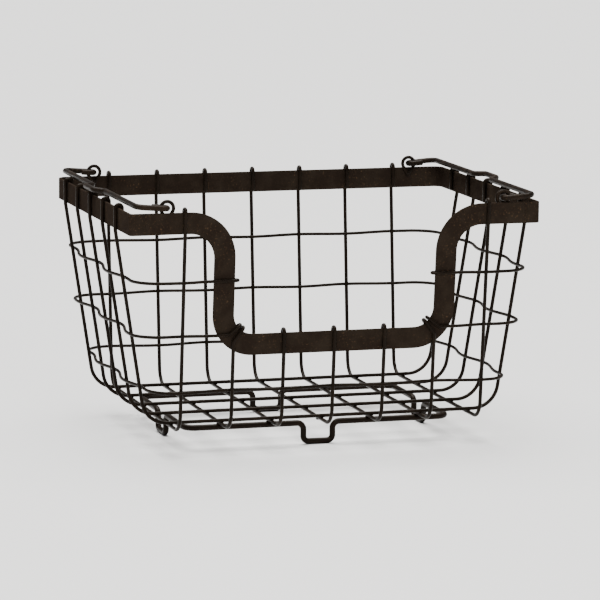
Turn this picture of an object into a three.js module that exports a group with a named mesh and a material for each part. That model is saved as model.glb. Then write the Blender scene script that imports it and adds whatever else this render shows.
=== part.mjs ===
import * as THREE from 'three';

// Wire basket with a scooped front, two folding handles and a heavy wire foot frame.
// Millimetres, +Z up, +X right, front faces -Y, origin at the bottom centre.

// Driving dimensions
const clearance = 0.3;
const pitch = 40;
const frontBackCount = 7;
const sideCount = 5;

// Flat strip of the rim and of the scoop
const strip = { height: 16.5, thickness: 2, top: 190, corner: 8, cornerSteps: 5 };
const stripBottom = strip.top - strip.height;
const stripMiddle = strip.top - strip.height / 2;

// Outer faces of the rim, from the outermost wires; its front ends meet the arms of the scoop
const beyondWires = { length: 42.6, depth: 36.6, toArm: 30.3 };
const rim = {
  halfLength: ((frontBackCount - 1) / 2) * pitch + beyondWires.length,
  halfDepth: ((sideCount - 1) / 2) * pitch + beyondWires.depth,
};
const armJoint = rim.halfLength - beyondWires.length + beyondWires.toArm;

// How far each wall leans in for one millimetre of height
const lean = { front: 0.0875, back: 0.088, side: 0.158 };

// Upright wires, which run down one wall, across the floor and up the other
const wire = { radius: 1.35, sides: 6, hookSteps: 6, legShort: 1.2, kneeRadius: 8 };
const wireOut = clearance + wire.radius;

// Floor: the front-to-back wires lie under the side wires
const floor = { level: 21, frontBend: 14, sideBend: 20 };
const sideFloorLevel = floor.level + 2 * wire.radius + clearance;

// Woven wires, which go round the walls
const woven = { radius: 1.2, sides: 6, corner: 22, waveSteps: 4, cornerSteps: 11 };
const wovenWave = wire.radius + clearance + woven.radius;
const wovenOut = clearance + woven.radius;

// Scoop, drawn in the leaning front wall: x to the side and z up. The opening ends just short of
// the second wire from each side.
const shortOfWire = 0.4;
const scoop = {
  openingHalf: 2 * pitch - shortOfWire,
  openingBottom: 94.9,
  upperRadius: 36,
  lowerRadius: 15.5,
  arcSteps: 12,
};
const upperCentre = {
  x: scoop.openingHalf + scoop.upperRadius,
  z: strip.top - scoop.upperRadius,
};
const lowerCentre = {
  x: scoop.openingHalf - scoop.lowerRadius,
  z: scoop.openingBottom + scoop.lowerRadius,
};

// Heights of the woven wires; the middle one meets the scoop at the level of its bottom run
const wovenLevels = { upper: 136.9, middle: scoop.openingBottom, lower: 51.9 };

// Slanting hooks over the lower corners of the scoop, as angles round the corner
const slantHook = { wireAngle: -52, wovenAngle: -38, kneeRadius: 4 };

// Eyes for the handles, placed in from the ends of the rim and up from its top
const eyeFromRim = { inset: 29.6, rise: 3.4 };
const eye = {
  radius: 5,
  wireRadius: 1.2,
  x: rim.halfLength - eyeFromRim.inset,
  z: strip.top + eyeFromRim.rise,
  ringSteps: 18,
  sides: 6,
};

// Folding handles
const handle = {
  radius: 2.2,
  sides: 8,
  arm: 24,
  cornerRadius: 7,
  hookEnd: 11,
  seatOut: 7.5,
  seatRun: 26,
  seatBase: 40,
  seatRadius: 5,
  hookHalf: 3.85,
  hookSteps: 8,
};

// Foot frame
const foot = {
  radius: 2.35,
  sides: 8,
  halfLength: 106,
  halfDepth: 69.7,
  cornerRadius: 9,
  legHalf: 11.75,
  shoulderRadius: 5.25,
  heelRadius: 4.25,
};

const bendStep = THREE.MathUtils.degToRad(20);

// Path that puts one ring of the tube at each of its stations.
class WirePath extends THREE.Curve {
  constructor(stations, closed = false, turn = 0) {
    super();
    this.stations = stations;
    this.closed = closed;
    this.turn = turn;
  }

  get segments() {
    return this.closed ? this.stations.length : this.stations.length - 1;
  }

  station(index) {
    const count = this.stations.length;
    const wrapped = (index + count) % count;
    return this.stations[this.closed ? wrapped : THREE.MathUtils.clamp(index, 0, count - 1)];
  }

  getPointAt(u, target = new THREE.Vector3()) {
    return target.copy(this.station(Math.round(u * this.segments)));
  }

  getTangentAt(u, target = new THREE.Vector3()) {
    const index = Math.round(u * this.segments);
    const here = this.station(index);
    const before = here.clone().sub(this.station(index - 1)).normalize();
    const after = this.station(index + 1).clone().sub(here).normalize();
    return target.copy(before.add(after).normalize());
  }

  getSpacedPoints(divisions) {
    const points = [];
    for (let i = 0; i <= divisions; i += 1) {
      points.push(this.getPointAt(i / divisions));
    }
    return points;
  }

  computeFrenetFrames(segments, closed) {
    const frames = super.computeFrenetFrames(segments, closed);
    frames.normals.forEach((normal, i) => {
      normal.applyAxisAngle(frames.tangents[i], this.turn);
      frames.binormals[i].applyAxisAngle(frames.tangents[i], this.turn);
    });
    return frames;
  }
}

// Regular polygon as the section of a wire.
function wireSection(radius, sides) {
  const points = [];
  for (let i = 0; i < sides; i += 1) {
    const angle = (2 * Math.PI * i) / sides;
    points.push(new THREE.Vector2(radius * Math.cos(angle), radius * Math.sin(angle)));
  }
  return new THREE.Shape(points);
}

function openWire(stations, radius, sides) {
  const path = new WirePath(stations);
  return new THREE.ExtrudeGeometry(wireSection(radius, sides), {
    steps: path.segments,
    extrudePath: path,
    bevelEnabled: false,
  });
}

function closedWire(stations, radius, sides, turn = 0) {
  const path = new WirePath(stations, true, turn);
  return new THREE.TubeGeometry(path, path.segments, radius, sides, true);
}

// Stations of a bent wire. Each corner is a point with a bend radius; zero keeps the point.
function bendWire(corners, closed = false) {
  const stations = [];
  const count = corners.length;
  corners.forEach((corner, i) => {
    const isEnd = !closed && (i === 0 || i === count - 1);
    if (isEnd || !corner.bend) {
      stations.push(corner.point);
      return;
    }
    const toPrevious = corners[(i + count - 1) % count].point.clone().sub(corner.point).normalize();
    const toNext = corners[(i + 1) % count].point.clone().sub(corner.point).normalize();
    const turn = Math.PI - toPrevious.angleTo(toNext);
    const reach = corner.bend * Math.tan(turn / 2);
    const start = corner.point.clone().addScaledVector(toPrevious, reach);
    const inward = toPrevious.clone().add(toNext).normalize();
    const centre = corner.point.clone().addScaledVector(inward, corner.bend / Math.cos(turn / 2));
    const axis = toPrevious.clone().negate().cross(toNext).normalize();
    const spoke = start.sub(centre);
    const steps = Math.max(1, Math.ceil(turn / bendStep));
    for (let k = 0; k <= steps; k += 1) {
      const arm = spoke.clone().applyAxisAngle(axis, (turn * k) / steps);
      stations.push(centre.clone().add(arm));
    }
  });
  return stations;
}

// Distance from the middle to the outer face of each wall at height z. The rim strip is upright
// at the back and sides; the whole front leans about the middle of its strip.
function wallFace(wall, z) {
  if (wall === 'front') {
    return rim.halfDepth + lean.front * (z - stripMiddle);
  }
  const below = Math.max(0, stripBottom - z);
  if (wall === 'back') {
    return rim.halfDepth - lean.back * below;
  }
  return rim.halfLength - lean.side * below;
}

// Point on a wall: along it, at height z, and out from its outer face.
function onWall(wall, along, z, out) {
  const distance = wallFace(wall, z) + out;
  if (wall === 'front') {
    return new THREE.Vector3(along, -distance, z);
  }
  if (wall === 'back') {
    return new THREE.Vector3(along, distance, z);
  }
  return new THREE.Vector3(wall === 'left' ? -distance : distance, along, z);
}

// Wire end that climbs the outer face of a strip, turns over its edge and comes down inside.
// The edge point and the climbing direction are given along the wall and in height.
function hookOver(wall, edge, climb, radius, legLength) {
  const turnRadius = strip.thickness / 2 + clearance + radius;
  const points = [];
  for (let i = 0; i <= wire.hookSteps; i += 1) {
    const angle = (Math.PI * i) / wire.hookSteps;
    const rise = turnRadius * Math.sin(angle);
    const out = turnRadius * Math.cos(angle) - strip.thickness / 2;
    points.push(onWall(wall, edge.x + climb.x * rise, edge.z + climb.z * rise, out));
  }
  const end = { x: edge.x - climb.x * legLength, z: edge.z - climb.z * legLength };
  points.push(onWall(wall, end.x, end.z, -strip.thickness / 2 - turnRadius));
  return points.map((point) => ({ point, bend: 0 }));
}

// Point and outward direction on the inner edge of the scoop's lower corner.
function lowerCornerEdge(angleDegrees, sign) {
  const angle = THREE.MathUtils.degToRad(angleDegrees);
  const out = { x: Math.cos(angle), z: Math.sin(angle) };
  return {
    edge: {
      x: sign * (lowerCentre.x + scoop.lowerRadius * out.x),
      z: lowerCentre.z + scoop.lowerRadius * out.z,
    },
    climb: { x: -sign * out.x, z: -out.z },
  };
}

const legLength = strip.height - wire.legShort;
const upward = { x: 0, z: 1 };

function crossingList(count) {
  const half = (count - 1) / 2;
  return Array.from({ length: count }, (_, i) => (i - half) * pitch);
}

// Front end of a front-to-back wire, from the floor bend up to its hook. The second wire from
// each side slants over the scoop's lower corner.
function frontEnd(index, x) {
  if (index === 1 || index === frontBackCount - 2) {
    const sign = Math.sign(x);
    const { edge, climb } = lowerCornerEdge(slantHook.wireAngle, sign);
    const back = (Math.abs(x) - Math.abs(edge.x)) / Math.abs(climb.x);
    const knee = onWall('front', x, edge.z - climb.z * back, wireOut);
    return [
      { point: knee, bend: slantHook.kneeRadius },
      ...hookOver('front', edge, climb, wire.radius, legLength),
    ];
  }
  const top = Math.abs(x) < scoop.openingHalf ? scoop.openingBottom : strip.top;
  return hookOver('front', { x, z: top }, upward, wire.radius, legLength);
}

// Back or side end of a wire, from the floor bend up to its hook on the rim.
function rimEnd(wall, along) {
  return [
    { point: onWall(wall, along, stripBottom, wireOut), bend: wire.kneeRadius },
    ...hookOver(wall, { x: along, z: strip.top }, upward, wire.radius, legLength),
  ];
}

function frontBackWire(index) {
  const x = crossingList(frontBackCount)[index];
  const corners = [
    ...frontEnd(index, x).reverse(),
    { point: onWall('front', x, floor.level, wireOut), bend: floor.frontBend },
    { point: onWall('back', x, floor.level, wireOut), bend: floor.frontBend },
    ...rimEnd('back', x),
  ];
  return openWire(bendWire(corners), wire.radius, wire.sides);
}

function sideWire(index) {
  const y = crossingList(sideCount)[index];
  const corners = [
    ...rimEnd('left', y).reverse(),
    { point: onWall('left', y, sideFloorLevel, wireOut), bend: floor.sideBend },
    { point: onWall('right', y, sideFloorLevel, wireOut), bend: floor.sideBend },
    ...rimEnd('right', y),
  ];
  return openWire(bendWire(corners), wire.radius, wire.sides);
}

// Level loop round the upright wires at height z, from the right end of the front wall to the
// left, then round the left, back and right walls.
function wallLoop(z) {
  const halfLength = wallFace('side', z) + wireOut;
  const frontDepth = wallFace('front', z) + wireOut;
  const backDepth = wallFace('back', z) + wireOut;
  const inset = woven.corner;
  const walls = [
    { name: 'front', start: [halfLength - inset, -frontDepth], run: [-1, 0], face: [0, -1] },
    { name: 'left', start: [-halfLength, inset - frontDepth], run: [0, 1], face: [-1, 0] },
    { name: 'back', start: [inset - halfLength, backDepth], run: [1, 0], face: [0, 1] },
    { name: 'right', start: [halfLength, backDepth - inset], run: [0, -1], face: [1, 0] },
  ];
  const lengthOf = (i) => (i % 2 === 0 ? 2 * halfLength : frontDepth + backDepth) - 2 * inset;
  const cornerLength = (inset * Math.PI) / 2;
  const starts = [0];
  for (let i = 0; i < walls.length; i += 1) {
    starts.push(starts[i] + lengthOf(i) + cornerLength);
  }
  const total = starts[walls.length];

  // Travelled distance at which the loop passes a place along a named wall.
  function distanceTo(name, along) {
    const i = walls.findIndex((wall) => wall.name === name);
    const { start, run } = walls[i];
    const axis = run[0] === 0 ? 1 : 0;
    return starts[i] + (along - start[axis]) * run[axis];
  }

  function pointAt(travelled, out) {
    const s = ((travelled % total) + total) % total;
    const i = Math.max(0, starts.findIndex((start) => start > s) - 1);
    const { start, run, face } = walls[i];
    const straight = Math.min(s - starts[i], lengthOf(i));
    const angle = Math.max(0, s - starts[i] - lengthOf(i)) / inset;
    const reach = (inset + out) * Math.sin(angle);
    const offset = (inset + out) * Math.cos(angle) - inset;
    return new THREE.Vector3(
      start[0] + run[0] * (straight + reach) + face[0] * offset,
      start[1] + run[1] * (straight + reach) + face[1] * offset,
      z,
    );
  }

  return { distanceTo, pointAt, total };
}

// Travelled distances of the crossings with the upright wires, given as wall and place along it.
function crossingDistances(loop, places) {
  let previous = -Infinity;
  return places.map(([name, along]) => {
    let travelled = loop.distanceTo(name, along);
    while (travelled < previous) {
      travelled += loop.total;
    }
    previous = travelled;
    return travelled;
  });
}

// Wave of a woven wire, outside one upright wire and inside the next. Each end stops short of its
// crossing by the trim.
function wovenWaveStations(loop, crossings, firstSign, trim = 0) {
  const stations = [];
  const last = crossings.length - 1;
  const signAt = (i) => (i % 2 === 0 ? firstSign : -firstSign);
  for (let i = 0; i < last; i += 1) {
    const start = crossings[i] + (i === 0 ? trim : 0);
    const next = crossings[i + 1];
    const isStraight = next - start < pitch * 1.01;
    const steps = isStraight ? woven.waveSteps : woven.cornerSteps;
    for (let k = 0; k < steps; k += 1) {
      const out = signAt(i) * wovenWave * Math.cos((Math.PI * k) / steps);
      stations.push(loop.pointAt(start + ((next - start) * k) / steps, out));
    }
  }
  stations.push(loop.pointAt(crossings[last] - trim, signAt(last) * wovenWave));
  return stations;
}

// Front end of an open woven wire: it crosses the face of the scoop's leg and hooks over the
// edge of the opening, straight at the upper level and slanting at the middle one.
function wovenEnd(z, sign, waveSign) {
  const outerPitch = ((frontBackCount - 1) / 2) * pitch;
  const legEdge = scoop.openingHalf + strip.height + 2 * woven.radius;
  const firstOut = wireOut + waveSign * wovenWave;
  const corners = [];
  for (let k = 1; k <= woven.waveSteps; k += 1) {
    const share = k / woven.waveSteps;
    const blend = (1 - Math.cos(Math.PI * share)) / 2;
    const along = outerPitch + (legEdge - outerPitch) * share;
    const out = firstOut + (wovenOut - firstOut) * blend;
    corners.push({ point: onWall('front', sign * along, z, out), bend: 0 });
  }
  if (z > lowerCentre.z) {
    const edge = { x: sign * scoop.openingHalf, z };
    const climb = { x: -sign, z: 0 };
    corners.push(...hookOver('front', edge, climb, woven.radius, legLength));
    return corners;
  }
  const { edge, climb } = lowerCornerEdge(slantHook.wovenAngle, sign);
  const back = (edge.z - z) / climb.z;
  const knee = onWall('front', edge.x - climb.x * back, z, wovenOut);
  corners.push({ point: knee, bend: slantHook.kneeRadius });
  corners.push(...hookOver('front', edge, climb, woven.radius, legLength));
  return corners;
}

function openWovenWire(z, firstSign) {
  const loop = wallLoop(z);
  const across = crossingList(frontBackCount);
  const deep = crossingList(sideCount);
  const crossings = crossingDistances(loop, [
    ['front', across[0]],
    ...deep.map((y) => ['left', y]),
    ...across.map((x) => ['back', x]),
    ...deep.slice().reverse().map((y) => ['right', y]),
    ['front', across[across.length - 1]],
  ]);
  const wave = wovenWaveStations(loop, crossings, firstSign);
  const corners = [
    ...wovenEnd(z, -1, firstSign).reverse(),
    ...wave.map((point) => ({ point, bend: 0 })),
    ...wovenEnd(z, 1, firstSign),
  ];
  return openWire(bendWire(corners), woven.radius, woven.sides);
}

// Half of a woven ring, round one side of the basket. The two halves butt against each other
// behind the middle upright of the front and of the back.
function halfWovenRing(z, side, middleSign) {
  const loop = wallLoop(z);
  const middle = (frontBackCount - 1) / 2;
  const across = crossingList(frontBackCount);
  const deep = crossingList(sideCount);
  const places = side === 'left'
    ? [
      ...across.slice(0, middle + 1).reverse().map((x) => ['front', x]),
      ...deep.map((y) => ['left', y]),
      ...across.slice(0, middle + 1).map((x) => ['back', x]),
    ]
    : [
      ...across.slice(middle).map((x) => ['back', x]),
      ...deep.slice().reverse().map((y) => ['right', y]),
      ...across.slice(middle).reverse().map((x) => ['front', x]),
    ];
  const crossings = crossingDistances(loop, places);
  const stations = wovenWaveStations(loop, crossings, middleSign, clearance / 2);
  return openWire(stations, woven.radius, woven.sides);
}

// Rim: one strip bent round the sides and back, open at the front between the scoop's arms.
function rimBand() {
  const outline = (length, depth, corner) => {
    const x = length - corner;
    const y = depth - corner;
    const turns = [[x, -y, -90], [x, y, 0], [-x, y, 90], [-x, -y, 180]];
    const points = [[armJoint, -depth]];
    turns.forEach(([cx, cy, startAngle]) => {
      for (let k = 0; k <= strip.cornerSteps; k += 1) {
        const angle = THREE.MathUtils.degToRad(startAngle + (90 * k) / strip.cornerSteps);
        points.push([cx + corner * Math.cos(angle), cy + corner * Math.sin(angle)]);
      }
    });
    points.push([-armJoint, -depth]);
    return points;
  };
  const inset = strip.thickness;
  const outer = outline(rim.halfLength, rim.halfDepth, strip.corner);
  const inner = outline(rim.halfLength - inset, rim.halfDepth - inset, strip.corner - inset);
  const shape = new THREE.Shape(
    [...outer, ...inner.reverse()].map(([x, y]) => new THREE.Vector2(x, y)),
  );
  return new THREE.ExtrudeGeometry(shape, { depth: strip.height, bevelEnabled: false });
}

// Scoop: one flat strip with two arms, two legs and a bottom run, leaning with the front wall.
function scoopBand() {
  // Points of one edge from the left arm's end to the right arm's end.
  const edgeLine = (inset) => {
    const upper = scoop.upperRadius - inset;
    const lower = scoop.lowerRadius + inset;
    const half = [[armJoint - clearance, upperCentre.z + upper]];
    for (let k = 0; k <= scoop.arcSteps; k += 1) {
      const angle = Math.PI / 2 + (Math.PI / 2) * (k / scoop.arcSteps);
      half.push([
        upperCentre.x + upper * Math.cos(angle),
        upperCentre.z + upper * Math.sin(angle),
      ]);
    }
    for (let k = 0; k <= scoop.arcSteps; k += 1) {
      const angle = -(Math.PI / 2) * (k / scoop.arcSteps);
      half.push([
        lowerCentre.x + lower * Math.cos(angle),
        lowerCentre.z + lower * Math.sin(angle),
      ]);
    }
    const left = half.map(([x, z]) => [-x, z]);
    return [...left, ...half.reverse()];
  };
  const openingEdge = edgeLine(0);
  const wallEdge = edgeLine(strip.height);
  const shape = new THREE.Shape(
    [...wallEdge, ...openingEdge.reverse()].map(([x, z]) => new THREE.Vector2(x, z)),
  );
  const geometry = new THREE.ExtrudeGeometry(shape, {
    depth: strip.thickness,
    bevelEnabled: false,
  });
  const innerAtZero = wallFace('front', 0) - strip.thickness;
  const leanIn = new THREE.Matrix4().set(
    1, 0, 0, 0,
    0, -lean.front, -1, -innerAtZero,
    0, 1, 0, 0,
    0, 0, 0, 1,
  );
  return geometry.applyMatrix4(leanIn);
}

// Distance of an eye's plane from the middle: it lies against the inner face of the strip.
function eyeDepth(wall) {
  const lowest = eye.z - eye.radius - eye.wireRadius;
  return wallFace(wall, lowest) - strip.thickness - clearance - eye.wireRadius;
}

function handleEye() {
  return new THREE.TorusGeometry(eye.radius, eye.wireRadius, eye.sides, eye.ringSteps);
}

// Angle above level at which the seat of a handle comes to rest on the middle side hook.
function restAngle() {
  const hookCentre = {
    x: rim.halfLength - strip.thickness / 2 - eye.x,
    z: strip.top - eye.z,
  };
  const hookReach = strip.thickness / 2 + clearance + 2 * wire.radius;
  const touch = hookReach + clearance + handle.radius;
  const arm = handle.arm + handle.seatOut;
  const far = Math.hypot(hookCentre.x, hookCentre.z);
  const cosine = (arm * arm + far * far - touch * touch) / (2 * arm * far);
  return Math.atan2(hookCentre.z, hookCentre.x) + Math.acos(cosine);
}

// Handle: each end hooks through its eye; the long run has a seat bent outward in its middle.
function foldingHandle(sign) {
  const place = (reach, y) => new THREE.Vector3(sign * reach, y, 0);
  const endHook = (wall) => {
    const side = wall === 'front' ? -1 : 1;
    const middle = side * eyeDepth(wall);
    const points = [place(handle.hookEnd, middle - side * handle.hookHalf)];
    for (let i = 0; i <= handle.hookSteps; i += 1) {
      const turn = (Math.PI * i) / handle.hookSteps;
      const reach = handle.hookHalf * (1 - Math.sin(turn));
      points.push(place(reach, middle - side * handle.hookHalf * Math.cos(turn)));
    }
    const corner = place(handle.arm, middle + side * handle.hookHalf);
    return [
      ...points.map((point) => ({ point, bend: 0 })),
      { point: corner, bend: handle.cornerRadius },
    ];
  };
  const seatOuter = handle.arm + handle.seatOut;
  const seat = [
    [handle.arm, -handle.seatBase / 2],
    [seatOuter, -handle.seatRun / 2],
    [seatOuter, handle.seatRun / 2],
    [handle.arm, handle.seatBase / 2],
  ].map(([reach, y]) => ({ point: place(reach, y), bend: handle.seatRadius }));
  const corners = [...endHook('front'), ...seat, ...endHook('back').reverse()];
  return openWire(bendWire(corners), handle.radius, handle.sides);
}

// Foot frame: a closed rectangle of heavy wire with one square foot bent down on each side. The
// section is turned so that a flat of it stands on the ground.
function footFrame() {
  const turn = Math.PI / foot.sides;
  const groundLevel = foot.radius * Math.cos(turn);
  const level = floor.level - wire.radius - clearance - groundLevel;
  const sides = [
    { start: [foot.halfLength, -foot.halfDepth], run: [-1, 0], half: foot.halfLength },
    { start: [-foot.halfLength, -foot.halfDepth], run: [0, 1], half: foot.halfDepth },
    { start: [-foot.halfLength, foot.halfDepth], run: [1, 0], half: foot.halfLength },
    { start: [foot.halfLength, foot.halfDepth], run: [0, -1], half: foot.halfDepth },
  ];
  const corners = [];
  sides.forEach(({ start, run, half }) => {
    const place = (along, z) => new THREE.Vector3(
      start[0] + run[0] * along,
      start[1] + run[1] * along,
      z,
    );
    corners.push({ point: place(0, level), bend: foot.cornerRadius });
    corners.push({ point: place(half - foot.legHalf, level), bend: foot.shoulderRadius });
    corners.push({ point: place(half - foot.legHalf, groundLevel), bend: foot.heelRadius });
    corners.push({ point: place(half + foot.legHalf, groundLevel), bend: foot.heelRadius });
    corners.push({ point: place(half + foot.legHalf, level), bend: foot.shoulderRadius });
  });
  return closedWire(bendWire(corners, true), foot.radius, foot.sides, turn);
}

const finish = {
  strip: new THREE.MeshStandardMaterial({ color: 0x2c251d, metalness: 0.6, roughness: 0.55 }),
  wire: new THREE.MeshStandardMaterial({ color: 0x1f1913, metalness: 0.6, roughness: 0.5 }),
  handle: new THREE.MeshStandardMaterial({ color: 0x3a3027, metalness: 0.6, roughness: 0.5 }),
};

const basket = new THREE.Group();
basket.name = 'wire_basket';

function addPiece(name, geometry, material, parent = basket) {
  const mesh = new THREE.Mesh(geometry, material);
  mesh.name = name;
  parent.add(mesh);
  return mesh;
}

addPiece('rim_band', rimBand(), finish.strip).position.z = stripBottom;
addPiece('scoop_band', scoopBand(), finish.strip);
for (let i = 0; i < frontBackCount; i += 1) {
  addPiece(`front_back_wire_${i + 1}`, frontBackWire(i), finish.wire);
}
for (let i = 0; i < sideCount; i += 1) {
  addPiece(`side_wire_${i + 1}`, sideWire(i), finish.wire);
}
addPiece('woven_wire_upper', openWovenWire(wovenLevels.upper, 1), finish.wire);
addPiece('woven_wire_middle', openWovenWire(wovenLevels.middle, -1), finish.wire);
['left', 'right'].forEach((side) => {
  const half = halfWovenRing(wovenLevels.lower, side, -1);
  addPiece(`woven_wire_lower_${side}`, half, finish.wire);
});
addPiece('foot_frame', footFrame(), finish.wire);

// Each side has a group on its hinge axis, which holds the two eyes and the handle.
[['left', -1], ['right', 1]].forEach(([side, sign]) => {
  const hinge = new THREE.Group();
  hinge.position.set(sign * eye.x, 0, eye.z);
  basket.add(hinge);
  ['front', 'back'].forEach((wall) => {
    const ring = addPiece(`handle_eye_${wall}_${side}`, handleEye(), finish.handle, hinge);
    ring.rotation.x = Math.PI / 2;
    ring.position.y = wall === 'front' ? -eyeDepth(wall) : eyeDepth(wall);
  });
  const grip = addPiece(`handle_${side}`, foldingHandle(sign), finish.handle, hinge);
  grip.rotation.y = -sign * restAngle();
});

export default basket;
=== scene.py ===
"""Wire basket with a scooped front, two folding handles and a foot frame.

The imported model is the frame. Every piece is worked out again here as a smooth swept surface with
the same centre lines, and takes a painted bronze finish. Sizes are in millimetres.
"""

import bpy
import numpy as np
from mathutils import Matrix, Vector


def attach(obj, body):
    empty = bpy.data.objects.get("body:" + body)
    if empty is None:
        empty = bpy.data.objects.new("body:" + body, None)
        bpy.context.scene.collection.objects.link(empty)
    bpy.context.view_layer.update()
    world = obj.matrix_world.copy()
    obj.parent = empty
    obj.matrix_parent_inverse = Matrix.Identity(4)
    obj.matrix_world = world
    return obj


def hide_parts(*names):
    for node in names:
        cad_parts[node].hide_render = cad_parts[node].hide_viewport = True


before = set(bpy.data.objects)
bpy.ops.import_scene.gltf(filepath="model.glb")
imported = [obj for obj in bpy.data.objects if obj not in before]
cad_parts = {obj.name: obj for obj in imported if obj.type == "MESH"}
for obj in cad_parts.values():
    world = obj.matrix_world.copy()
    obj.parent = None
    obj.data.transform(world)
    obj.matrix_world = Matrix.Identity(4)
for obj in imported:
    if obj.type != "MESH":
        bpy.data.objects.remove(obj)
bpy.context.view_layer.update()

# One millimetre in the scene's metres
MM = 0.001

# Spacing of the wires, and the gap between pieces that lie against each other
CLEARANCE = 0.3
PITCH = 40.0
ACROSS = PITCH * np.arange(-3, 4)
DEEP = PITCH * np.arange(-2, 3)

# Flat strip of the rim and of the scoop
STRIP_HEIGHT = 16.5
STRIP_THICKNESS = 2.0
STRIP_TOP = 190.0
STRIP_BOTTOM = STRIP_TOP - STRIP_HEIGHT
STRIP_MIDDLE = STRIP_TOP - STRIP_HEIGHT / 2
BACK_CORNER = 8.0
FRONT_CORNER = 3.5
STRIP_EDGE = 0.5
RIM_HALF_LENGTH = 162.6
RIM_HALF_DEPTH = 116.6

# The rim's ends run a short way along the front and butt against the arms of the scoop. The lean
# of the scoop fades out along the last stretch of each arm.
RIM_END = 12.45
LEAN_FADE = 24.0
ARM_JOINT = RIM_HALF_LENGTH - RIM_END
LEAN_START = ARM_JOINT - LEAN_FADE

# How far each wall leans in for one millimetre of height
LEAN_FRONT = 0.0875
LEAN_BACK = 0.088
LEAN_SIDE = 0.158

# Upright wires under their coat of paint, and the leg of a hook, which ends a little short of the
# strip's lower edge
WIRE_RADIUS = 1.35
WIRE_PAINT = 0.1
WIRE_OUT = CLEARANCE + WIRE_RADIUS
LEG_SHORT = 1.2
LEG_LENGTH = STRIP_HEIGHT - LEG_SHORT
KNEE_BEND = 8.0

# Floor, where the front-to-back wires lie under the side wires
FLOOR_LEVEL = 21.0
SIDE_FLOOR_LEVEL = FLOOR_LEVEL + 2 * WIRE_RADIUS + CLEARANCE
FRONT_BEND = 14.0
SIDE_BEND = 20.0

# Woven wires of the walls
WOVEN_RADIUS = 1.2
WOVEN_PAINT = 0.05
WOVEN_CORNER = 22.0
WOVEN_WAVE = WIRE_RADIUS + CLEARANCE + WOVEN_RADIUS
WOVEN_OUT = CLEARANCE + WOVEN_RADIUS
UPPER_LEVEL = 136.9
MIDDLE_LEVEL = 94.9
LOWER_LEVEL = 51.9

# Scoop
OPENING_HALF = 79.6
OPENING_BOTTOM = 94.9
UPPER_BEND = 36.0
LOWER_BEND = 15.5
UPPER_CENTRE = (OPENING_HALF + UPPER_BEND, STRIP_TOP - UPPER_BEND)
LOWER_CENTRE = (OPENING_HALF - LOWER_BEND, OPENING_BOTTOM + LOWER_BEND)
WIRE_SLANT = np.radians(-52.0)
WOVEN_SLANT = np.radians(-38.0)
SLANT_BEND = 4.0

# Eyes, and the tip at which each is welded to the strip
EYE_RADIUS = 5.0
EYE_WIRE = 1.2
EYE_PAINT = 0.15
EYE_X = 133.0
EYE_Z = 193.4
EYE_TIP = 184.0
EYE_TIP_BEND = 2.0

# Handles, each with a seat bent outward in the middle of its long run
HANDLE_RADIUS = 2.2
HANDLE_ARM = 24.0
HANDLE_CORNER = 7.0
HANDLE_END = 11.0
SEAT_OUT = 7.5
SEAT_RUN = 26.0
SEAT_BASE = 40.0
SEAT_BEND = 5.0
HOOK_HALF = 3.85

# Foot frame
FOOT_RADIUS = 2.35
FOOT_HALF_LENGTH = 106.0
FOOT_HALF_DEPTH = 69.7
FOOT_CORNER = 9.0
FOOT_LEG = 11.75
FOOT_SHOULDER = 5.25
FOOT_HEEL = 4.25

# Weld beads, as half sizes along x, y and z, and how far an eye's bead sits from its tip
EYE_WELD = (2.3, 1.5, 2.9)
SIDE_HOOK_WELD = (2.1, 1.2, 1.25)
HOOK_WELD = (1.2, 2.1, 1.25)
FOOT_WELD = (1.7, 2.2, 0.8)
FLOOR_WELD = (1.25, 1.25, 0.6)
EYE_WELD_BEHIND = 0.6
EYE_WELD_ABOVE = 1.2

# How finely the surfaces are divided: points of a curve, and sides of a round wire
BEND_STEP = np.radians(7.0)
HOOK_POINTS = 25
WAVE_POINTS = 14
WOVEN_END_POINTS = 12
EYE_POINTS = 41
HANDLE_HOOK_POINTS = 33
RIM_CORNER_POINTS = 15
SCOOP_BEND_POINTS = 25
ARM_POINTS = 13
EDGE_POINTS = 5
WIRE_SIDES = 16
HEAVY_WIRE_SIDES = 24

# Rounding of a wire's cut end, as a share of its radius
CUT_EDGE = 0.35


# Paths of the wires


def wall_face(wall, z):
    """Distance from the middle to a wall's outer face at height z: the strip's own distance, less
    the lean times the drop below the strip. The front leans as a whole about its strip's middle."""
    if wall == "front":
        return RIM_HALF_DEPTH + LEAN_FRONT * (z - STRIP_MIDDLE)
    below = np.maximum(0.0, STRIP_BOTTOM - z)
    if wall == "back":
        return RIM_HALF_DEPTH - LEAN_BACK * below
    return RIM_HALF_LENGTH - LEAN_SIDE * below


def on_wall(wall, along, z, out):
    """Points on a wall from the place along it, the height, and the distance out from its face."""
    along, z, out = np.broadcast_arrays(*(np.asarray(v, float) for v in (along, z, out)))
    distance = wall_face(wall, z) + out
    if wall == "front":
        parts = (along, -distance, z)
    elif wall == "back":
        parts = (along, distance, z)
    else:
        parts = (-distance if wall == "left" else distance, along, z)
    return np.stack(parts, axis=-1)


def as_corners(points):
    """Points that the wire passes through as they are."""
    return [(p, 0.0) for p in np.atleast_2d(points)]


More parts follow.
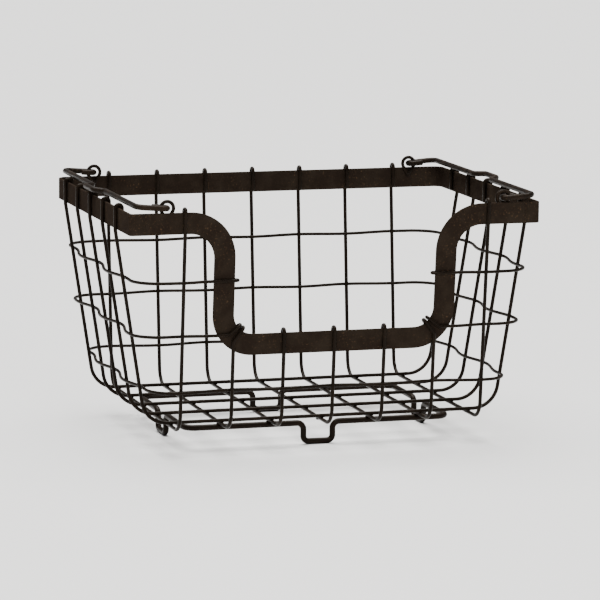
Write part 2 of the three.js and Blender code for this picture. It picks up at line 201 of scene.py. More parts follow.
def bend_wire(corners, closed=False):
    """Centre line through corners given as (point, bend radius): each corner becomes the arc of
    that radius that touches both straights, and a radius of zero keeps the point."""
    line = []
    count = len(corners)
    for i, (point, radius) in enumerate(corners):
        if radius == 0.0 or (not closed and i in (0, count - 1)):
            line.append(point[None])
            continue
        back = corners[i - 1][0] - point
        ahead = corners[(i + 1) % count][0] - point
        back = back / np.linalg.norm(back)
        ahead = ahead / np.linalg.norm(ahead)
        turn = np.pi - np.arccos(np.clip(back @ ahead, -1.0, 1.0))
        inward = (back + ahead) / np.linalg.norm(back + ahead)
        centre = point + inward * radius / np.cos(turn / 2)
        start = (point + back * radius * np.tan(turn / 2) - centre) / radius
        angle = np.linspace(0.0, turn, max(2, int(np.ceil(turn / BEND_STEP)) + 1))[:, None]
        line.append(centre + radius * (np.cos(angle) * start - np.sin(angle) * back))
    return np.concatenate(line)


def hook_over(wall, edge, climb, radius):
    """Wire end hooked over a strip's edge: half a circle about the middle of the strip's
    thickness, from the outer face to the inner one, and then a straight leg down inside."""
    turn_radius = STRIP_THICKNESS / 2 + CLEARANCE + radius
    angle = np.linspace(0.0, np.pi, HOOK_POINTS)
    rise = turn_radius * np.sin(angle)
    out = turn_radius * np.cos(angle) - STRIP_THICKNESS / 2
    turn = on_wall(wall, edge[0] + climb[0] * rise, edge[1] + climb[1] * rise, out)
    leg = (edge[0] - climb[0] * LEG_LENGTH, edge[1] - climb[1] * LEG_LENGTH)
    end = on_wall(wall, leg[0], leg[1], -STRIP_THICKNESS / 2 - turn_radius)
    return as_corners(turn) + as_corners(end)


def lower_corner_edge(angle, sign):
    """Point on the inner edge of the scoop's lower corner, and the direction over that edge."""
    out = np.array([np.cos(angle), np.sin(angle)])
    edge = np.array(LOWER_CENTRE) + LOWER_BEND * out
    return (sign * edge[0], edge[1]), (-sign * out[0], -out[1])


def front_end(x):
    """Front end of a front-to-back wire: hooked over the arm or the bottom run of the scoop, or
    slanting over the scoop's lower corner for the second wire from each side."""
    if abs(abs(x) - 2 * PITCH) < PITCH / 2:
        edge, climb = lower_corner_edge(WIRE_SLANT, np.sign(x))
        back = (abs(x) - abs(edge[0])) / abs(climb[0])
        knee = on_wall("front", x, edge[1] - climb[1] * back, WIRE_OUT)
        return [(knee, SLANT_BEND)] + hook_over("front", edge, climb, WIRE_RADIUS)
    top = OPENING_BOTTOM if abs(x) < OPENING_HALF else STRIP_TOP
    return hook_over("front", (x, top), (0.0, 1.0), WIRE_RADIUS)


def rim_end(wall, along):
    """End of a wire on the rim: a slight knee under the strip and a hook over it."""
    knee = on_wall(wall, along, STRIP_BOTTOM, WIRE_OUT)
    return [(knee, KNEE_BEND)] + hook_over(wall, (along, STRIP_TOP), (0.0, 1.0), WIRE_RADIUS)


def front_back_line(index):
    """Centre line of a front-to-back wire: front hook, wall, floor, wall, back hook."""
    x = ACROSS[index]
    return bend_wire(
        front_end(x)[::-1]
        + [(on_wall("front", x, FLOOR_LEVEL, WIRE_OUT), FRONT_BEND)]
        + [(on_wall("back", x, FLOOR_LEVEL, WIRE_OUT), FRONT_BEND)]
        + rim_end("back", x)
    )


def side_line(index):
    """Centre line of a side wire: left hook, wall, floor, wall, right hook."""
    y = DEEP[index]
    return bend_wire(
        rim_end("left", y)[::-1]
        + [(on_wall("left", y, SIDE_FLOOR_LEVEL, WIRE_OUT), SIDE_BEND)]
        + [(on_wall("right", y, SIDE_FLOOR_LEVEL, WIRE_OUT), SIDE_BEND)]
        + rim_end("right", y)
    )


def loop_walls(z):
    """The four straight stretches of the level loop through the uprights at height z, as start
    point, running direction, outward direction, length, and distance travelled at the start."""
    half_length = wall_face("side", z) + WIRE_OUT
    front = wall_face("front", z) + WIRE_OUT
    back = wall_face("back", z) + WIRE_OUT
    inset = WOVEN_CORNER
    long = 2 * half_length - 2 * inset
    short = front + back - 2 * inset
    walls = [
        ((half_length - inset, -front), (-1, 0), (0, -1), long),
        ((-half_length, inset - front), (0, 1), (-1, 0), short),
        ((inset - half_length, back), (1, 0), (0, 1), long),
        ((half_length, back - inset), (0, -1), (1, 0), short),
    ]
    starts = np.cumsum([0.0] + [wall[3] + inset * np.pi / 2 for wall in walls])
    return walls, starts


def loop_points(z, travelled, out):
    """Points of the level loop at the travelled distances, moved out by the given amounts: a
    straight stretch, then a quarter circle whose radius grows with the distance out."""
    walls, starts = loop_walls(z)
    travelled = np.mod(travelled, starts[-1])
    side = np.clip(np.searchsorted(starts, travelled, side="right") - 1, 0, 3)
    start, run, face = (np.array([wall[k] for wall in walls], float)[side] for k in range(3))
    length = np.array([wall[3] for wall in walls])[side]
    local = travelled - starts[side]
    angle = np.maximum(0.0, local - length) / WOVEN_CORNER
    reach = np.minimum(local, length) + (WOVEN_CORNER + out) * np.sin(angle)
    offset = (WOVEN_CORNER + out) * np.cos(angle) - WOVEN_CORNER
    flat = start + run * reach[:, None] + face * offset[:, None]
    return np.column_stack([flat, np.full(len(flat), z)])


# Crossings of the woven wires with the uprights, as wall of the loop (front, left, back, right)
# and place along it: the open wires stop at the outermost front uprights, and the halves of the
# ring meet behind the middle front and back uprights
OPEN_CROSSINGS = (
    [(0, ACROSS[0])]
    + [(1, y) for y in DEEP]
    + [(2, x) for x in ACROSS]
    + [(3, y) for y in DEEP[::-1]]
    + [(0, ACROSS[-1])]
)
LEFT_CROSSINGS = (
    [(0, x) for x in ACROSS[3::-1]] + [(1, y) for y in DEEP] + [(2, x) for x in ACROSS[:4]]
)
RIGHT_CROSSINGS = (
    [(2, x) for x in ACROSS[3:]] + [(3, y) for y in DEEP[::-1]] + [(0, x) for x in ACROSS[:2:-1]]
)


def woven_wave(z, first_sign, crossings):
    """Wave of a woven wire: between one upright and the next the distance out goes from outside
    to inside as half a cosine, whatever the length of the stretch."""
    walls, starts = loop_walls(z)

    def travelled_to(side, along):
        start, run = walls[side][0], walls[side][1]
        axis = 1 if run[0] == 0 else 0
        return starts[side] + (along - start[axis]) * run[axis]

    crossing = np.array([travelled_to(*place) for place in crossings])
    crossing += starts[-1] * np.cumsum(np.concatenate([[0.0], np.diff(crossing) < 0]))
    phase = np.arange((len(crossing) - 1) * WAVE_POINTS + 1) / WAVE_POINTS
    travelled = np.interp(phase, np.arange(len(crossing)), crossing)
    return loop_points(z, travelled, first_sign * WOVEN_WAVE * np.cos(np.pi * phase))


def woven_end(z, sign, wave_sign):
    """Front end of an open woven wire: from the outermost upright it settles on the face of the
    scoop's leg and hooks over the edge of the opening."""
    leg_edge = OPENING_HALF + STRIP_HEIGHT + 2 * WOVEN_RADIUS
    share = np.arange(1, WOVEN_END_POINTS + 1) / WOVEN_END_POINTS
    first_out = WIRE_OUT + wave_sign * WOVEN_WAVE
    out = first_out + (WOVEN_OUT - first_out) * (1 - np.cos(np.pi * share)) / 2
    along = ACROSS[-1] + (leg_edge - ACROSS[-1]) * share
    corners = as_corners(on_wall("front", sign * along, z, out))
    if z > LOWER_CENTRE[1]:
        return corners + hook_over("front", (sign * OPENING_HALF, z), (-sign, 0.0), WOVEN_RADIUS)
    edge, climb = lower_corner_edge(WOVEN_SLANT, sign)
    back = (edge[1] - z) / climb[1]
    corners.append((on_wall("front", edge[0] - climb[0] * back, z, WOVEN_OUT), SLANT_BEND))
    return corners + hook_over("front", edge, climb, WOVEN_RADIUS)


def open_woven_line(z, first_sign):
    """Centre line of a woven wire that stops at the scoop on both sides."""
    return bend_wire(
        woven_end(z, -1, first_sign)[::-1]
        + as_corners(woven_wave(z, first_sign, OPEN_CROSSINGS))
        + woven_end(z, 1, first_sign)
    )


def eye_depth(wall):
    """Distance of an eye's plane from the middle: against the inner face of the strip."""
    lowest = EYE_Z - EYE_RADIUS - EYE_WIRE
    return wall_face(wall, lowest) - STRIP_THICKNESS - CLEARANCE - EYE_WIRE


def rest_angle():
    """Angle above level at which a handle's seat touches the hook of the middle side wire, from
    the triangle of the hinge, the hook's centre and the seat's centre."""
    hook = np.array([RIM_HALF_LENGTH - STRIP_THICKNESS / 2 - EYE_X, STRIP_TOP - EYE_Z])
    touch = STRIP_THICKNESS / 2 + 2 * CLEARANCE + 2 * WIRE_RADIUS + HANDLE_RADIUS
    arm = HANDLE_ARM + SEAT_OUT
    far = np.linalg.norm(hook)
    cosine = (arm**2 + far**2 - touch**2) / (2 * arm * far)
    return np.arctan2(hook[1], hook[0]) + np.arccos(cosine)


def handle_line(sign):
    """Centre line of a handle in its own sloping plane: end, half circle through the eye, arm,
    corner, long run with the seat bent outward, and the same again to the other end."""
    angle = rest_angle()

    def place(reach, y):
        reach, y = np.broadcast_arrays(np.asarray(reach, float), np.asarray(y, float))
        x = sign * (EYE_X + reach * np.cos(angle))
        return np.stack([x, y, EYE_Z + reach * np.sin(angle)], axis=-1)

    def end_hook(wall):
        side = -1 if wall == "front" else 1
        middle = side * eye_depth(wall)
        turn = np.linspace(0.0, np.pi, HANDLE_HOOK_POINTS)
        round_eye = place(HOOK_HALF * (1 - np.sin(turn)), middle - side * HOOK_HALF * np.cos(turn))
        start = place(HANDLE_END, middle - side * HOOK_HALF)
        corner = place(HANDLE_ARM, middle + side * HOOK_HALF)
        return as_corners(start) + as_corners(round_eye) + [(corner, HANDLE_CORNER)]

    outer = HANDLE_ARM + SEAT_OUT
    seat = [
        (place(HANDLE_ARM, -SEAT_BASE / 2), SEAT_BEND),
        (place(outer, -SEAT_RUN / 2), SEAT_BEND),
        (place(outer, SEAT_RUN / 2), SEAT_BEND),
        (place(HANDLE_ARM, SEAT_BASE / 2), SEAT_BEND),
    ]
    return bend_wire(end_hook("front") + seat + end_hook("back")[::-1])


def foot_line():
    """Centre line of the foot frame: a rectangle with one square foot bent down on each side."""
    ground = FOOT_RADIUS
    level = FLOOR_LEVEL - WIRE_RADIUS - CLEARANCE - FOOT_RADIUS
    a, b = FOOT_HALF_LENGTH, FOOT_HALF_DEPTH
    corners = []
    for start, run, half in (
        ((a, -b), (-1, 0), a),
        ((-a, -b), (0, 1), b),
        ((-a, b), (1, 0), a),
        ((a, b), (0, -1), b),
    ):
        for along, z, bend in (
            (0.0, level, FOOT_CORNER),
            (half - FOOT_LEG, level, FOOT_SHOULDER),
            (half - FOOT_LEG, ground, FOOT_HEEL),
            (half + FOOT_LEG, ground, FOOT_HEEL),
            (half + FOOT_LEG, level, FOOT_SHOULDER),
        ):
            flat = np.array(start, float) + np.array(run, float) * along
            corners.append((np.array([flat[0], flat[1], z]), bend))
    return bend_wire(corners, closed=True)


# Surfaces


def unit(vectors):
    """Vectors scaled to length one."""
    return vectors / np.linalg.norm(vectors, axis=-1, keepdims=True)


def foot_facing(line):
    """Level direction in which each point of the foot frame faces, as on a rectangle with rounded
    corners: the seventh power of its share of the half size, over that half size, on each axis."""
    x = (line[:, 0] / FOOT_HALF_LENGTH) ** 7 / FOOT_HALF_LENGTH
    y = (line[:, 1] / FOOT_HALF_DEPTH) ** 7 / FOOT_HALF_DEPTH
    return unit(np.column_stack([x, y, np.zeros(len(line))]))


def tangents(line, closed):
    """Direction at each point: the mean of the two neighbouring steps' directions."""
    if closed:
        before = unit(line - np.roll(line, 1, axis=0))
        return unit(before + np.roll(before, -1, axis=0))
    step = unit(np.diff(line, axis=0))
    return unit(np.concatenate([step[:1], step[:-1] + step[1:], step[-1:]]))


def sweep(name, line, across, up, section, scale=None, closed=False):
    """Surface of a section carried along a line: point = line + scale * (a * across + b * up) for
    each section point (a, b). The uv map holds the distance along and round, in millimetres."""
    count, sides = len(line), len(section)
    scale = np.ones(count) if scale is None else scale
    a, b = section[:, 0], section[:, 1]
    ring = a[None, :, None] * across[:, None, :] + b[None, :, None] * up[:, None, :]
    points = (line[:, None, :] + scale[:, None, None] * ring).reshape(-1, 3)

    spans = count if closed else count - 1
    i, j = np.meshgrid(np.arange(spans), np.arange(sides), indexing="ij")
    i, j = i.ravel(), j.ravel()
    i_next, j_next = (i + 1) % count, (j + 1) % sides
    quads = np.column_stack(
        [i * sides + j, i * sides + j_next, i_next * sides + j_next, i_next * sides + j]
    )
    along = np.concatenate([[0.0], np.cumsum(np.linalg.norm(np.diff(line, axis=0), axis=1))])
    along = np.append(along, along[-1] + np.linalg.norm(line[0] - line[-1]))
    girth = np.linalg.norm(np.roll(section, -1, axis=0) - section, axis=1)
    around = np.concatenate([[0.0], np.cumsum(girth)])
    u = along[np.column_stack([i, i, i + 1, i + 1])]
    v = around[np.column_stack([j, j + 1, j + 1, j])]

    corner = points[quads]
    volume = np.einsum("ij,ij->", corner[:, 0], np.cross(corner[:, 1], corner[:, 2]))
    volume += np.einsum("ij,ij->", corner[:, 0], np.cross(corner[:, 2], corner[:, 3]))
    faces = quads.tolist()
    smooth = [True] * len(faces)
    uv = [np.stack([u, v], axis=-1).reshape(-1, 2)]
    if not closed:
        first, last = np.arange(sides), (count - 1) * sides + np.arange(sides)
        faces += [first[::-1].tolist(), last.tolist()]
        smooth += [False, False]
        uv += [section[::-1], section]
    mesh = bpy.data.meshes.new(name)
    mesh.from_pydata((points * MM).tolist(), [], faces)
    layer = mesh.uv_layers.new(name="surface")
    layer.data.foreach_set("uv", np.concatenate(uv).ravel())
    if volume < 0:
        mesh.flip_normals()
    mesh.polygons.foreach_set("use_smooth", smooth)
    piece = bpy.data.objects.new(name, mesh)
    bpy.context.scene.collection.objects.link(piece)
    return piece


def round_section(radius, sides):
    """Circle as points."""
    angle = np.arange(sides) * 2 * np.pi / sides
    return radius * np.column_stack([np.cos(angle), np.sin(angle)])


def strip_section():
    """Section of the flat strip, a rectangle whose corners are quarter circles: the height runs
    from zero along the first axis, the thickness lies about zero along the second."""
    quarter = np.linspace(0.0, np.pi / 2, EDGE_POINTS)
    low, high = STRIP_EDGE, STRIP_HEIGHT - STRIP_EDGE
    face = STRIP_THICKNESS / 2 - STRIP_EDGE
    corners = []
    for k, centre in enumerate([(high, face), (low, face), (low, -face), (high, -face)]):
        angle = quarter + k * np.pi / 2
        arc = np.column_stack([np.cos(angle), np.sin(angle)])
        corners.append(np.array(centre) + STRIP_EDGE * arc)
    return np.concatenate(corners)


def wire(name, line, radius, reference, sides=WIRE_SIDES, closed=False):
    """Round wire along a line. Open ends are cut square with a rounded edge: there the section
    shrinks along a quarter circle, whose radius is the cut edge's share of the wire's."""
    scale = None
    direction = tangents(line, closed)
    if not closed:
        edge = CUT_EDGE * radius
        turn = np.linspace(0.0, np.pi / 2, EDGE_POINTS)[:, None]
        cut = edge * (1 - np.sin(turn))
        start = line[0] + direction[0] * cut[::-1]
        end = line[-1] - direction[-1] * cut
        line = np.concatenate([start, line[1:-1], end])
        shrink = 1 - edge / radius * (1 - np.cos(turn[:, 0]))
        scale = np.concatenate([shrink[::-1], np.ones(len(line) - 2 * EDGE_POINTS), shrink])
        direction = tangents(line, closed)
    reference = np.broadcast_to(np.asarray(reference, float), line.shape)
    across = unit(reference - np.sum(reference * direction, axis=1, keepdims=True) * direction)
    up = np.cross(direction, across)
    return sweep(name, line, across, up, round_section(radius, sides), scale, closed)


def rim_strip():
    """Rim: the strip's section carried round a rectangle open in front, whose front corners are
    bent tighter than the back ones."""
    middle = STRIP_THICKNESS / 2
    half_length, half_depth = RIM_HALF_LENGTH - middle, RIM_HALF_DEPTH - middle
    turn = np.linspace(0.0, np.pi / 2, RIM_CORNER_POINTS)
    flat, out = [np.array([[ARM_JOINT, -half_depth]])], [np.array([[0.0, -1.0]])]
    for k, (x_side, y_side) in enumerate([(1, -1), (1, 1), (-1, 1), (-1, -1)]):
        radius = (FRONT_CORNER if y_side < 0 else BACK_CORNER) - middle
        centre = np.array([x_side * (half_length - radius), y_side * (half_depth - radius)])
        angle = turn + (k - 1) * np.pi / 2
        normal = np.column_stack([np.cos(angle), np.sin(angle)])
        flat.append(centre + radius * normal)
        out.append(normal)
    flat.append(np.array([[-ARM_JOINT, -half_depth]]))
    out.append(np.array([[0.0, -1.0]]))
    flat, out = np.concatenate(flat), np.concatenate(out)
    line = np.column_stack([flat, np.full(len(flat), STRIP_BOTTOM)])
    thick = np.column_stack([out, np.zeros(len(out))])
    upward = np.tile([0.0, 0.0, 1.0], (len(line), 1))
    return sweep("rim_strip", line, upward, thick, strip_section())


def scoop_strip():
    """Scoop: the strip's section carried along the opening's edge in the leaning front wall, an
    S of two quarter circles on each side and a straight run between them. Towards the end of an
    arm the lean fades out as half a cosine, so that the arm runs on into the upright rim."""
    turn = np.linspace(0.0, np.pi / 2, SCOOP_BEND_POINTS)
    upper = np.column_stack([-np.sin(turn), np.cos(turn)])
    lower = np.column_stack([np.cos(turn), -np.sin(turn)])
    edge = np.concatenate([
        np.column_stack([
            np.linspace(ARM_JOINT, LEAN_START, ARM_POINTS),
            np.full(ARM_POINTS, UPPER_CENTRE[1] + UPPER_BEND),
        ]),
        np.array(UPPER_CENTRE) + UPPER_BEND * upper,
        np.array(LOWER_CENTRE) + LOWER_BEND * lower,
    ])
    width = np.concatenate([np.tile([0.0, -1.0], (ARM_POINTS, 1)), -upper, lower])
    mirror = np.array([-1.0, 1.0])
    edge = np.concatenate([edge * mirror, edge[::-1]])
    width = np.concatenate([width * mirror, width[::-1]])
    near_end = (np.abs(edge[:, 0]) - LEAN_START) / (ARM_JOINT - LEAN_START)
    lean = LEAN_FRONT * (1 + np.cos(np.pi * np.clip(near_end, 0.0, 1.0))) / 2
    depth = RIM_HALF_DEPTH + lean * (edge[:, 1] - STRIP_MIDDLE) - STRIP_THICKNESS / 2
    line = np.column_stack([edge[:, 0], -depth, edge[:, 1]])
    lean_in = np.column_stack([width[:, 0], -lean * width[:, 1], width[:, 1]])
    thick = np.tile([0.0, -1.0, 0.0], (len(line), 1))
    return sweep("scoop_strip", line, lean_in, thick, strip_section())


def eye_ring(name, wall, sign):
    """Wire ring in an upright plane: a circle about the hinge axis, left along its two tangents to
    a rounded tip, where both ends of the wire are welded to the strip. The paint stands thick on
    so small a ring."""
    y = -eye_depth(wall) if wall == "front" else eye_depth(wall)
    opening = np.arccos(EYE_RADIUS / (EYE_Z - EYE_TIP))
    angle = np.linspace(opening, 2 * np.pi - opening, EYE_POINTS) - np.pi / 2
    circle = np.column_stack([
        sign * EYE_X + EYE_RADIUS * np.cos(angle),
        np.full(EYE_POINTS, y),
        EYE_Z + EYE_RADIUS * np.sin(angle),
    ])
    tip = np.array([sign * EYE_X, y, EYE_TIP])
    line = bend_wire(as_corners(circle) + [(tip, EYE_TIP_BEND)], closed=True)
    return wire(name, line, EYE_WIRE + EYE_PAINT, (0.0, 1.0, 0.0), closed=True)


def weld_beads(name, beads):
    """Weld beads as one surface, each given as (centre, half sizes): an ellipsoid whose radius is
    1 + 0.1 sin(3 a + k) cos(2 b) + 0.07 sin(5 a - 2 k), with a round the bead, b its latitude and
    k the bead's number, so that no two have the same lumps."""
    rows, columns = 11, 20
    latitude = np.linspace(-np.pi / 2, np.pi / 2, rows)[1:-1]
    turn = np.arange(columns) * 2 * np.pi / columns
    a, b = np.meshgrid(turn, latitude)
    inner = np.arange((rows - 3) * columns)
    i, j = inner // columns, inner % columns
    ahead = (j + 1) % columns
    quads = np.column_stack([
        i * columns + j,
        i * columns + ahead,
        (i + 1) * columns + ahead,
        (i + 1) * columns + j,
    ])
    low, high = (rows - 2) * columns, (rows - 2) * columns + 1
    column = np.arange(columns)
    beyond = (column + 1) % columns
    top = (rows - 3) * columns
    caps = [[low, int(n), int(m)] for m, n in zip(column, beyond)]
    caps += [[high, int(top + m), int(top + n)] for m, n in zip(column, beyond)]
    points, faces = [], []
    for k, (centre, half) in enumerate(beads):
        lump = 1 + 0.1 * np.sin(3 * a + k) * np.cos(2 * b) + 0.07 * np.sin(5 * a - 2 * k)
        x = lump * np.cos(b) * np.cos(a)
        y = lump * np.cos(b) * np.sin(a)
        shell = np.stack([x, y, np.sin(b)], axis=-1)
        shell = np.concatenate([shell.reshape(-1, 3), [[0, 0, -1], [0, 0, 1]]])
        offset = k * len(shell)
        points.append(np.array(centre) + shell * np.array(half))
        faces += (quads + offset).tolist() + [[v + offset for v in face] for face in caps]
    mesh = bpy.data.meshes.new(name)
    mesh.from_pydata((np.concatenate(points) * MM).tolist(), [], faces)
    mesh.shade_smooth()
    piece = bpy.data.objects.new(name, mesh)
    bpy.context.scene.collection.objects.link(piece)
    return piece


# Finishes


def linear(hex_colour):
    """Colour for a shader from an sRGB hex value."""
    value = np.array([int(hex_colour[k : k + 2], 16) for k in (1, 3, 5)]) / 255
    low = value / 12.92
    high = ((value + 0.055) / 1.055) ** 2.4
    return (*np.where(value <= 0.04045, low, high).tolist(), 1.0)


def add_node(tree, kind, settings=None, inputs=None):
    """Node with its settings, and its inputs given as values or as the sockets they come from."""
    node = tree.nodes.new(kind)
    for key, value in (settings or {}).items():
        setattr(node, key, value)
    for key, value in (inputs or {}).items():
        if isinstance(value, bpy.types.NodeSocket):
            tree.links.new(value, node.inputs[key])
        else:
            node.inputs[key].default_value = value
    return node


# Real sizes of the paint's patterns
RUBBED_AREA = 14.0
THIN_PATCH = 22.0
RUST_SPECK = 1.3
SPRAY_GRAIN = 0.5


def painted_bronze(name, base, rubbed, rust, rust_share, roughness, sheen, relief):
    """Matt dark bronze paint on steel, sprayed and rubbed by hand: a brown-black coat that drifts
    to a lighter rubbed brown, fine rust specks in patches where the coat is thin, and a slightly
    rough face whose relief is given in millimetres."""
    material = bpy.data.materials.new(name)
    material.use_nodes = True
    tree = material.node_tree
    tree.nodes.clear()
    place = add_node(tree, "ShaderNodeTexCoord").outputs["Object"]

    drift = add_node(tree, "ShaderNodeTexNoise", {}, {
        "Vector": place,
        "Scale": 1 / (RUBBED_AREA * MM),
        "Detail": 4.0,
        "Roughness": 0.6,
    })
    patches = add_node(tree, "ShaderNodeTexNoise", {}, {
        "Vector": place,
        "Scale": 1 / (THIN_PATCH * MM),
        "Detail": 2.0,
        "Roughness": 0.5,
    })
    speckle = add_node(tree, "ShaderNodeTexNoise", {}, {
        "Vector": place,
        "Scale": 1 / (RUST_SPECK * MM),
        "Detail": 3.0,
        "Roughness": 0.6,
    })
    grain = add_node(tree, "ShaderNodeTexNoise", {}, {
        "Vector": place,
        "Scale": 1 / (SPRAY_GRAIN * MM),
        "Detail": 2.0,
    })

    # Colour: the coat, rubbed in places, with the specks on top where the coat is thin
    rubbed_share = add_node(tree, "ShaderNodeMapRange", {}, {
        "Value": drift.outputs["Fac"],
        "From Min": 0.42,
        "From Max": 0.68,
        "To Max": 0.75,
    })
    coat = add_node(tree, "ShaderNodeMix", {"data_type": "RGBA"}, {
        0: rubbed_share.outputs[0],
        6: linear(base),
        7: linear(rubbed),
    })
    thin_share = add_node(tree, "ShaderNodeMapRange", {}, {
        "Value": patches.outputs["Fac"],
        "From Min": 0.44,
        "From Max": 0.62,
        "To Min": 0.15,
        "To Max": 1.0,
    })
    specks = add_node(tree, "ShaderNodeMapRange", {}, {
        "Value": speckle.outputs["Fac"],
        "From Min": 0.6,
        "From Max": 0.72,
        "To Max": rust_share,
    })
    rusted = add_node(tree, "ShaderNodeMath", {"operation": "MULTIPLY"}, {
        0: specks.outputs[0],
        1: thin_share.outputs[0],
    })
    colour = add_node(tree, "ShaderNodeMix", {"data_type": "RGBA"}, {
        0: rusted.outputs[0],
        6: coat.outputs[2],
        7: linear(rust),
    })

    # Gloss drifts with the rubbing, and the relief comes from the specks and the spray
    gloss = add_node(tree, "ShaderNodeMapRange", {}, {
        "Value": drift.outputs["Fac"],
        "From Min": 0.3,
        "From Max": 0.7,
        "To Min": roughness[0],
        "To Max": roughness[1],
    })
    height = add_node(tree, "ShaderNodeMath", {"operation": "ADD"}, {
        0: speckle.outputs["Fac"],
        1: grain.outputs["Fac"],
    })
    bump = add_node(tree, "ShaderNodeBump", {}, {
        "Height": height.outputs[0],
        "Strength": 0.5,
        "Distance": relief * MM,
    })
    shader = add_node(tree, "ShaderNodeBsdfPrincipled", {}, {
        "Base Color": colour.outputs[2],
        "Roughness": gloss.outputs[0],
        "Specular IOR Level": sheen,
        "Specular Tint": linear("#f2e2d0"),
        "Normal": bump.outputs["Normal"],
    })
    add_node(tree, "ShaderNodeOutputMaterial", {}, {"Surface": shader.outputs[0]})
    return material


# Flat strip: a dry, even coat that hardly shines, with rust specks that show from a step away
STRIP_FINISH = painted_bronze(
    "strip_patina",
    base="#231c17",
    rubbed="#2d261f",
    rust="#765a40",
    rust_share=0.5,
    roughness=(0.75, 0.9),
    sheen=0.006,
    relief=0.1,
)

# Drawn wire: a darker, smoother coat that runs thin highlights along the bends
WIRE_FINISH = painted_bronze(
    "wire_paint",
    base="#130e0a",
    rubbed="#1e1711",
    rust="#3d2b1c",
    rust_share=0.25,
    roughness=(0.26, 0.38),
    sheen=0.06,
    relief=0.1,
)

# Handles and their eyes: the coat is pitted and polished by hands, which breaks up the highlights
HANDLE_FINISH = painted_bronze(
    "handle_paint",
    base="#140f0b",
    rubbed="#281f18",
    rust="#54402c",
    rust_share=0.4,
    roughness=(0.3, 0.45),
    sheen=0.06,
    relief=0.3,
)


# The basket


def fit_piece(piece, body, node, finish):
    """The piece rides on its body, stands for its node and takes its finish."""
    piece.data.materials.append(finish)
    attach(piece, body)
    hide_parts(node)


X_AXIS, Y_AXIS, Z_AXIS = np.eye(3)

fit_piece(rim_strip(), "basket", "rim_band", STRIP_FINISH)
fit_piece(scoop_strip(), "basket", "scoop_band", STRIP_FINISH)
for k in range(len(ACROSS)):
    piece = wire(f"front_back_{k + 1}", front_back_line(k), WIRE_RADIUS + WIRE_PAINT, X_AXIS)
    fit_piece(piece, "basket", f"front_back_wire_{k + 1}", WIRE_FINISH)
for k in range(len(DEEP)):
    piece = wire(f"side_{k + 1}", side_line(k), WIRE_RADIUS + WIRE_PAINT, Y_AXIS)
    fit_piece(piece, "basket", f"side_wire_{k + 1}", WIRE_FINISH)
for name, line in (
    ("upper", open_woven_line(UPPER_LEVEL, 1)),
    ("middle", open_woven_line(MIDDLE_LEVEL, -1)),
    ("lower_left", woven_wave(LOWER_LEVEL, -1, LEFT_CROSSINGS)),
    ("lower_right", woven_wave(LOWER_LEVEL, -1, RIGHT_CROSSINGS)),
):
    piece = wire(f"woven_{name}", line, WOVEN_RADIUS + WOVEN_PAINT, Z_AXIS)
    fit_piece(piece, "basket", f"woven_wire_{name}", WIRE_FINISH)
for side, sign in (("left", -1), ("right", 1)):
    for wall in ("front", "back"):
        ring = eye_ring(f"eye_{wall}_{side}", wall, sign)
        fit_piece(ring, "basket", f"handle_eye_{wall}_{side}", HANDLE_FINISH)
    flat = (-sign * np.sin(rest_angle()), 0.0, np.cos(rest_angle()))
    grip = wire(f"grip_{side}", handle_line(sign), HANDLE_RADIUS, flat, sides=HEAVY_WIRE_SIDES)
    fit_piece(grip, f"{side}_handle", f"handle_{side}", HANDLE_FINISH)

foot = foot_line()
piece = wire("feet", foot, FOOT_RADIUS, foot_facing(foot), sides=HEAVY_WIRE_SIDES, closed=True)
fit_piece(piece, "basket", "foot_frame", WIRE_FINISH)


# Weld beads


def eye_welds():
    """Beads that hold the eyes' tips to the inner face of the strip."""
    beads = []
    for wall, outward in (("front", -1), ("back", 1)):
        for sign in (-1, 1):
            depth = outward * (eye_depth(wall) + EYE_WELD_BEHIND)
            beads.append(((sign * EYE_X, depth, EYE_TIP + EYE_WELD_ABOVE), EYE_WELD))
    return beads


def hook_welds():
    """Beads inside the hooks, on the edge of the rim and of the scoop. The slanting hooks at the
    scoop's lower corners have none."""
    middle = STRIP_THICKNESS / 2
    side_x = RIM_HALF_LENGTH - middle
    back_y = RIM_HALF_DEPTH - middle
    beads = [((sign * side_x, y, STRIP_TOP), SIDE_HOOK_WELD) for y in DEEP for sign in (-1, 1)]
    beads += [((x, back_y, STRIP_TOP), HOOK_WELD) for x in ACROSS]
    for x in np.delete(ACROSS, [1, 5]):
        top = OPENING_BOTTOM if abs(x) < OPENING_HALF else STRIP_TOP
        beads.append(((x, middle - wall_face("front", top), top), HOOK_WELD))
    return beads


def foot_welds():
    """Beads where the front-to-back wires lie on the long sides of the foot frame."""
    level = FLOOR_LEVEL - WIRE_RADIUS - CLEARANCE / 2
    sides = (-FOOT_HALF_DEPTH, FOOT_HALF_DEPTH)
    return [((x, y, level), FOOT_WELD) for x in ACROSS[1:-1] for y in sides]


def floor_welds():
    """Beads where the side wires lie on the front-to-back wires."""
    level = FLOOR_LEVEL + WIRE_RADIUS + CLEARANCE / 2
    return [((x, y, level), FLOOR_WELD) for x in ACROSS for y in DEEP]


for name, beads, slot, finish in (
    ("eye_welds", eye_welds(), "handle", HANDLE_FINISH),
    ("wire_welds", hook_welds() + foot_welds() + floor_welds(), "wire", WIRE_FINISH),
):
    piece = weld_beads(name, beads)
    piece.data.materials.append(finish)
    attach(piece, "basket")


# Floor, light and camera, with places in metres

FLOOR_HALF = 12.0
BASKET_MIDDLE = (0.0, 0.0, 0.1)
CAMERA_PLACE = (-0.8569, -2.8087, 0.5617)
CAMERA_TARGET = (0.0091, 0.0098, 0.1)
CAMERA_TILT = 0.48
CAMERA_LENS = 226.5
CAMERA_SENSOR = 36.0
CAMERA_REACH = 100.0


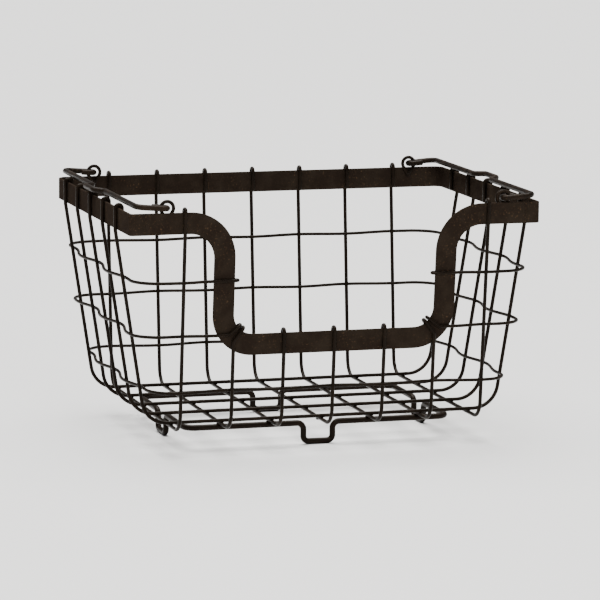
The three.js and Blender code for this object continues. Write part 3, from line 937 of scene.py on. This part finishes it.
def pale_floor():
    """Flat pale card that fills the view."""
    corners = [
        (-FLOOR_HALF, -FLOOR_HALF, 0.0),
        (FLOOR_HALF, -FLOOR_HALF, 0.0),
        (FLOOR_HALF, FLOOR_HALF, 0.0),
        (-FLOOR_HALF, FLOOR_HALF, 0.0),
    ]
    mesh = bpy.data.meshes.new("floor")
    mesh.from_pydata(corners, [], [(0, 1, 2, 3)])
    piece = bpy.data.objects.new("floor", mesh)
    bpy.context.scene.collection.objects.link(piece)
    material = bpy.data.materials.new("pale_card")
    material.use_nodes = True
    shader = material.node_tree.nodes["Principled BSDF"]
    shader.inputs["Base Color"].default_value = linear("#cfcecc")
    shader.inputs["Roughness"].default_value = 0.9
    mesh.materials.append(material)


def aim(light, place, target):
    """Turn a light at a place towards a target, and put it into the scene."""
    light.location = place
    light.rotation_euler = (Vector(target) - Vector(place)).to_track_quat("-Z", "Y").to_euler()
    bpy.context.scene.collection.objects.link(light)


def soft_light(name, place, target, size, power):
    """Square soft box."""
    data = bpy.data.lights.new(name, "AREA")
    data.shape = "SQUARE"
    data.size = size
    data.energy = power
    aim(bpy.data.objects.new(name, data), place, target)


def even_light(name, place, target, spread, strength):
    """Light from one side of the room, as even and soft as a ceiling of diffusers: it reaches the
    whole floor alike, and its spread in degrees softens the shadows."""
    data = bpy.data.lights.new(name, "SUN")
    data.angle = np.radians(spread)
    data.energy = strength
    aim(bpy.data.objects.new(name, data), place, target)


def pale_room(strength):
    """White surroundings that fill the shadows."""
    world = bpy.data.worlds.new("studio")
    world.use_nodes = True
    background = world.node_tree.nodes["Background"]
    background.inputs["Color"].default_value = linear("#ffffff")
    background.inputs["Strength"].default_value = strength
    bpy.context.scene.world = world


def place_camera():
    """Camera at the photograph's place: lens from the fitted field of view, turned by the small
    tilt of the horizon."""
    data = bpy.data.cameras.new("camera")
    data.lens = CAMERA_LENS
    data.sensor_width = CAMERA_SENSOR
    data.clip_end = CAMERA_REACH
    tilt = np.radians(CAMERA_TILT)
    back = (Vector(CAMERA_PLACE) - Vector(CAMERA_TARGET)).normalized()
    right = Vector((0.0, 0.0, 1.0)).cross(back).normalized()
    up = back.cross(right)
    turned = right * np.cos(tilt) + up * np.sin(tilt)
    matrix = Matrix((turned, back.cross(turned), back)).transposed().to_4x4()
    matrix.translation = Vector(CAMERA_PLACE)
    camera = bpy.data.objects.new("camera", data)
    camera.matrix_world = matrix
    bpy.context.scene.collection.objects.link(camera)
    bpy.context.scene.camera = camera


pale_floor()
even_light("overhead", (0.0, 0.25, 1.0), (0.0, 0.0, 0.0), spread=60.0, strength=9.5)
soft_light("front", (-0.2, -2.6, 1.5), BASKET_MIDDLE, size=0.5, power=30.0)
soft_light("left", (-1.9, -0.8, 0.9), BASKET_MIDDLE, size=1.0, power=1.0)
soft_light("right", (1.9, -0.8, 0.9), BASKET_MIDDLE, size=1.0, power=3.0)
pale_room(0.25)
place_camera()
